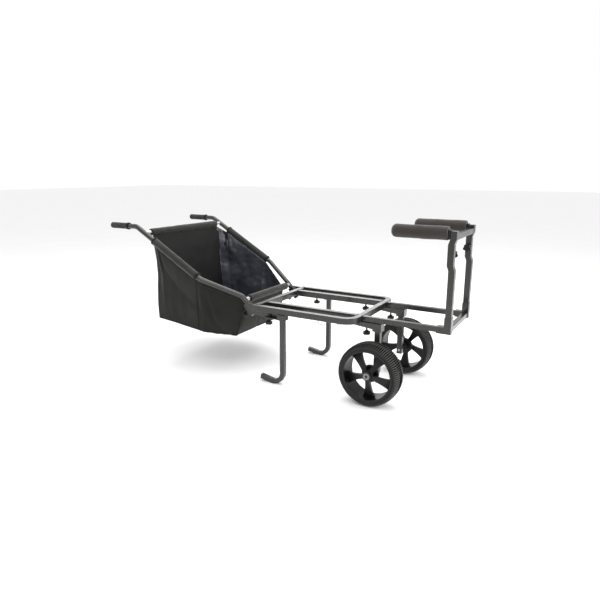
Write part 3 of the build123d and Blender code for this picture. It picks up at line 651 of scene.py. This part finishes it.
def bag_shape():
    """Vertices and faces of the bag before it hangs, and the number of vertices in a row of its walls."""
    top, bottom = bag_rims()
    count = len(top)
    points = []
    for row in range(BAG_DOWN + 1):
        share = row / BAG_DOWN
        bulge = math.sin(math.pi * share) ** 0.8
        for j in range(count):
            p = top[j].lerp(bottom[j], share)
            swell = noise.noise(Vector((p.x * 7, p.y * 7 + 2.0, p.z * 7)))
            grain = noise.noise(Vector((p.x * 19, p.y * 19, p.z * 11 + 5.0)))
            push = bulge * (WALL_SWELL * swell + WALL_GRAIN * grain)
            out = Vector((p.x - BAG_MIDDLE_X, p.y, 0)).normalized()
            points.append(p + out * push)
    faces = ring_faces(BAG_DOWN + 1, count)
    add_floor(points, faces, BAG_DOWN * count)
    return points, faces, count


def wall_column(i, j):
    """The wall's column that the floor's place in row i, column j belongs to, or None inside the floor."""
    if i == 0:
        return j
    if i == BAG_ALONG:
        return BAG_ACROSS + BAG_ALONG + (BAG_ACROSS - j)
    if j == BAG_ACROSS:
        return BAG_ACROSS + i
    if j == 0:
        return 2 * BAG_ACROSS + BAG_ALONG + (BAG_ALONG - i)
    return None


def add_floor(points, faces, base):
    """Adds the floor's inner vertices and its faces. base is the first vertex of the walls' bottom row."""
    grid = {}
    for i in range(BAG_ALONG + 1):
        for j in range(BAG_ACROSS + 1):
            column = wall_column(i, j)
            if column is not None:
                grid[i, j] = base + column
                continue
            left, right = points[base + wall_column(i, 0)], points[base + wall_column(i, BAG_ACROSS)]
            share = j / BAG_ACROSS
            p = left.lerp(right, share)
            p.z -= FLOOR_DIP * math.sin(math.pi * share)
            p.z += FLOOR_SWELL * noise.noise(Vector((p.x * 9, p.y * 9, 4.0)))
            grid[i, j] = len(points)
            points.append(p)
    for i in range(BAG_ALONG):
        for j in range(BAG_ACROSS):
            faces.append((grid[i, j], grid[i, j + 1], grid[i + 1, j + 1], grid[i + 1, j]))


def sag(obj, pinned):
    """Lets the cloth hang from its pinned edge, and limits how far any point moves."""
    start = [v.co.copy() for v in obj.data.vertices]
    group = obj.vertex_groups.new(name="pin")
    group.add(pinned, 1.0, "REPLACE")
    modifier = obj.modifiers.new("hang", "CLOTH")
    settings = modifier.settings
    settings.quality = 6
    settings.mass = 0.25
    settings.tension_stiffness = 30
    settings.compression_stiffness = 12
    settings.shear_stiffness = 8
    settings.bending_stiffness = 0.6
    settings.vertex_group_mass = "pin"
    settings.effector_weights.gravity = 0.6
    settings.use_pressure = True
    settings.uniform_pressure_force = 0.5
    modifier.collision_settings.use_collision = False
    scene = bpy.context.scene
    modifier.point_cache.frame_start = 1
    modifier.point_cache.frame_end = HANG_FRAMES
    for number in range(1, HANG_FRAMES + 1):
        scene.frame_set(number)
    moved = obj.evaluated_get(bpy.context.evaluated_depsgraph_get()).data
    places = [v.co.copy() for v in moved.vertices]
    obj.modifiers.remove(modifier)
    scene.frame_set(1)
    for vertex, before, after in zip(obj.data.vertices, start, places):
        step = after - before
        if step.length > HANG_LIMIT:
            step *= HANG_LIMIT / step.length
        vertex.co = before + step
    obj.vertex_groups.clear()
    obj.data.update()


def bag():
    points, faces, count = bag_shape()
    obj = mesh_piece("tackle_bag", points, faces, MATERIALS["bag_fabric"])
    sag(obj, list(range(count)))
    lowest = Vector(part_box("bag")[0]).z - LOWEST_BELOW_CAD
    for vertex in obj.data.vertices:
        vertex.co.z = max(vertex.co.z, lowest)
    face_outwards(obj)
    bag_seams(obj, count)
    for material in (BAG_LINING, MATERIALS["bag_fabric"], BAG_BACK_SHADE):
        obj.data.materials.append(material)
    # Painted shade: the rear wall's faces take index 2, so the thickness shell's inner face gets the darker
    # cloth
    rear = min(v.co.x for v in obj.data.vertices) + REAR_DEPTH
    for face in obj.data.polygons:
        if face.center.x < rear and abs(face.normal.x) > REAR_FACING:
            face.material_index = 2
    shell = obj.modifiers.new("thickness", "SOLIDIFY")
    shell.thickness = CLOTH_THICKNESS
    shell.offset = -1
    shell.material_offset = 1
    bake(obj)
    return finish_piece(obj, "handle_frame", "bag_fabric", "bag")


def face_outwards(obj):
    """Turns every face of an open shell the same way, outwards."""
    shell = bmesh.new()
    shell.from_mesh(obj.data)
    bmesh.ops.recalc_face_normals(shell, faces=shell.faces)
    middle = sum((v.co for v in shell.verts), Vector()) / len(shell.verts)
    score = sum((f.calc_center_median() - middle).dot(f.normal) * f.calc_area() for f in shell.faces)
    if score < 0:
        bmesh.ops.reverse_faces(shell, faces=shell.faces)
    shell.to_mesh(obj.data)
    shell.free()


def bake(obj):
    """Replaces the object's mesh by what its modifiers make of it."""
    graph = bpy.context.evaluated_depsgraph_get()
    mesh = bpy.data.meshes.new_from_object(obj.evaluated_get(graph))
    obj.modifiers.clear()
    obj.data = mesh
    mesh.polygons.foreach_set("use_smooth", [True] * len(mesh.polygons))


def bag_seams(obj, count):
    """Bound edges down the corners, round the floor and down each side, and the thread along the hem."""
    spots = [v.co.copy() for v in obj.data.vertices]
    corners = {
        "rear_left": 0, "rear_right": BAG_ACROSS, "front_right": BAG_ACROSS + BAG_ALONG,
        "front_left": 2 * BAG_ACROSS + BAG_ALONG,
        "side_right": BAG_ACROSS + round(BAG_ALONG * SIDE_SEAM),
        "side_left": 2 * BAG_ACROSS + BAG_ALONG + round(BAG_ALONG * (1 - SIDE_SEAM)),
    }
    for name, column in corners.items():
        run = [spots[row * count + column] for row in range(1, BAG_DOWN + 1)]
        made = cord_like("bag_seam_" + name, run, SEAM_RADIUS, BINDING)
        finish_piece(made, "handle_frame", "bag_fabric")
    run = [spots[BAG_DOWN * count + j] for j in range(count)]
    made = cord_like("bag_seam_floor", run, FLOOR_SEAM_RADIUS, BINDING, True)
    finish_piece(made, "handle_frame", "bag_fabric")
    run = [spots[HEM_ROW * count + j] for j in range(count)]
    made = cord_like("bag_hem_thread", run, THREAD_RADIUS, THREAD, True)
    finish_piece(made, "handle_frame", "bag_fabric")


# ---------------------------------------------------------------- small metal details
BEAD_RADIUS = 0.0021
BEAD_RIPPLE = 0.0004
RIPPLE_STEP = 1.9  # radians of ripple from one point of a bead to the next
RAIL_BEAD_STEPS = 60
CORNER_BEAD_STEPS = 50

SCREW_RADIUS = 0.004
SCREW_HEIGHT = 0.62  # of the radius
SCREW_EDGE = 0.25  # share of the head's height that is straight-sided
SCREW_CROWN = 0.55  # share of the radius at the top of the dome
SCREW_SIDES = 24
CORNER_SCREW_IN = 0.016
LOWER_SCREW_UP = 0.0155
UPPER_SCREW_DOWN = 0.014
POST_SCREW_AHEAD = 0.004
POST_SCREW_DOWN = 0.027


def weld_beads():
    """Rippled beads where the bed's tubes are welded together."""
    cross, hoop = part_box("rear_cross_tube"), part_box("outer_hoop")
    top, low = hoop[1][2], hoop[0][2]
    for side, sign in SIDES.items():
        rail_low, rail_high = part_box("inner_rail_" + side)
        for name, x in (("rear", cross[1][0]), ("front", rail_high[0])):
            y0, y1 = rail_low[1], rail_high[1]
            run = lines([(x, y0, low), (x, y0, top), (x, y1, top), (x, y1, low)], RAIL_BEAD_STEPS)
            bead("weld_" + name + "_" + side, run)
        x0, x1 = cross[0][0], cross[1][0]
        y = cross[1][1] if sign > 0 else cross[0][1]
        run = lines([(x1, y, low), (x1, y, top), (x0, y, top)], CORNER_BEAD_STEPS)
        bead("weld_corner_" + side, run)


def bead(name, run):
    rippled = [p + Vector((0, 0, BEAD_RIPPLE * math.sin(i * RIPPLE_STEP))) for i, p in enumerate(run)]
    made = cord_like(name, rippled, BEAD_RADIUS, MATERIALS["frame_paint"])
    return finish_piece(made, "bed", "frame_paint")


def dome_screw(name, spot, way, body):
    """A painted button-head screw with a round recess, standing on a surface."""
    radius, height = SCREW_RADIUS, SCREW_RADIUS * SCREW_HEIGHT
    profile = [(0.0, radius), (height * SCREW_EDGE, radius)]
    profile += [(height * (SCREW_EDGE + (1 - SCREW_EDGE) * math.sin(a)),
                 radius * (SCREW_CROWN + (1 - SCREW_CROWN) * math.cos(a)))
                for a in np.linspace(0.2, math.pi / 2, 6)]
    profile += [(height, radius * 0.5), (height * 0.45, radius * 0.48), (height * 0.45, 0.0003)]
    obj = turned(name, spot, spot + way, profile, MATERIALS["frame_paint"], SCREW_SIDES, closed=(True, True))
    return finish_piece(obj, body, "frame_paint")


def corner_screws():
    """Two screws on each corner socket and one at the top of each upper post, all facing outwards."""
    for side, sign in SIDES.items():
        way = Vector((0, sign, 0))
        low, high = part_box("corner_socket_" + side)
        y = high[1] if sign > 0 else low[1]
        places = ((low[0] + CORNER_SCREW_IN, low[2] + LOWER_SCREW_UP),
                  (high[0] - CORNER_SCREW_IN, high[2] - UPPER_SCREW_DOWN))
        for index, (x, z) in enumerate(places):
            dome_screw(f"corner_screw_{index}_{side}", Vector((x, y, z)), way, "extension")
        low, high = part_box("upper_post_" + side)
        y = high[1] if sign > 0 else low[1]
        x = centre("upper_post_" + side).x + POST_SCREW_AHEAD
        dome_screw("post_screw_" + side, Vector((x, y, high[2] - POST_SCREW_DOWN)), way, "upper_frame")


# ---------------------------------------------------------------- studio
FLOOR_REACH = 30
FLOOR_WHITE = (0.93, 0.93, 0.93)

# The world's value runs with a direction's Y plus SKY_LIFT times its Z, from SKY_DARK at SKY_START to
# SKY_WHITE at SKY_END. So it is darker low down on the camera's side, and white from above and behind.
SKY_LIFT = 1.3
SKY_START, SKY_END = -0.75, 0.05
SKY_DARK, SKY_WHITE = 0.36, 1.0

LAMPS = (  # name, place, width, power
    ("key", (0.8, -2.6, 2.8), 2.6, 38),
    ("top", (-0.2, 0.6, 3.4), 3.0, 80),
    ("side", (3.2, 0.6, 1.4), 1.6, 60),
    ("back", (-1.9, 3.3, 1.45), 2.6, 24),
)
LAMP_TARGET = (0, 0, 0.4)


def studio():
    """White floor, a world that is darker on the camera's side, and four lamps the camera can't see."""
    ground, reach = CAD_BOX[0][2], FLOOR_REACH
    corners = [(-reach, -reach, ground), (reach, -reach, ground),
               (reach, reach, ground), (-reach, reach, ground)]
    white = Surface("floor", FLOOR_WHITE, 0.8).tint(3, 0.01).material
    plane = mesh_piece("floor", corners, [(0, 1, 2, 3)], white, False)
    world = bpy.data.worlds.new("studio")
    world.use_nodes = True
    tree = world.node_tree
    sky = tree.nodes["Background"]
    sky.inputs["Strength"].default_value = 1.0
    way = tree.nodes.new("ShaderNodeTexCoord")
    split = tree.nodes.new("ShaderNodeSeparateXYZ")
    ramp = tree.nodes.new("ShaderNodeMapRange")
    ramp.inputs["From Min"].default_value = SKY_START
    ramp.inputs["From Max"].default_value = SKY_END
    ramp.inputs["To Min"].default_value = SKY_DARK
    ramp.inputs["To Max"].default_value = SKY_WHITE
    tree.links.new(way.outputs["Generated"], split.inputs[0])
    lift = tree.nodes.new("ShaderNodeMath")
    lift.operation = "MULTIPLY_ADD"
    lift.inputs[1].default_value = SKY_LIFT
    tree.links.new(split.outputs["Z"], lift.inputs[0])
    tree.links.new(split.outputs["Y"], lift.inputs[2])
    tree.links.new(lift.outputs[0], ramp.inputs["Value"])
    tree.links.new(ramp.outputs[0], sky.inputs["Color"])
    bpy.context.scene.world = world
    for name, place, wide, power in LAMPS:
        light = bpy.data.lights.new(name, "AREA")
        light.shape = "SQUARE"
        light.size = wide
        light.energy = power
        lamp = bpy.data.objects.new(name, light)
        lamp.location = place
        lamp.visible_camera = False
        aim = Vector(LAMP_TARGET) - Vector(place)
        lamp.rotation_euler = aim.to_track_quat("-Z", "Y").to_euler()
        bpy.context.scene.collection.objects.link(lamp)
    bpy.context.scene.view_settings.view_transform = "Standard"


def camera():
    azimuth, elevation = math.radians(CAMERA_AZIMUTH), math.radians(CAMERA_ELEVATION)
    back = Vector((math.sin(azimuth) * math.cos(elevation), -math.cos(azimuth) * math.cos(elevation),
                   math.sin(elevation)))
    lens = bpy.data.cameras.new("camera")
    lens.lens = CAMERA_LENS
    lens.sensor_width = CAMERA_SENSOR
    eye = bpy.data.objects.new("camera", lens)
    eye.location = Vector(CAMERA_TARGET) + back * CAMERA_DISTANCE
    eye.rotation_euler = (math.pi / 2 - elevation, 0, azimuth)
    bpy.context.scene.collection.objects.link(eye)
    bpy.context.scene.camera = eye


camera()
studio()
paint_frame()
for each in SIDES:
    tyre(each)
    hub_trim(each)
    support_foam(each)
    grip(each)
    arm_sleeve(each)
roller("upper_roller", "upper_roller_cover")
roller("lower_roller", "lower_roller_cover")
bag()
weld_beads()
corner_screws()
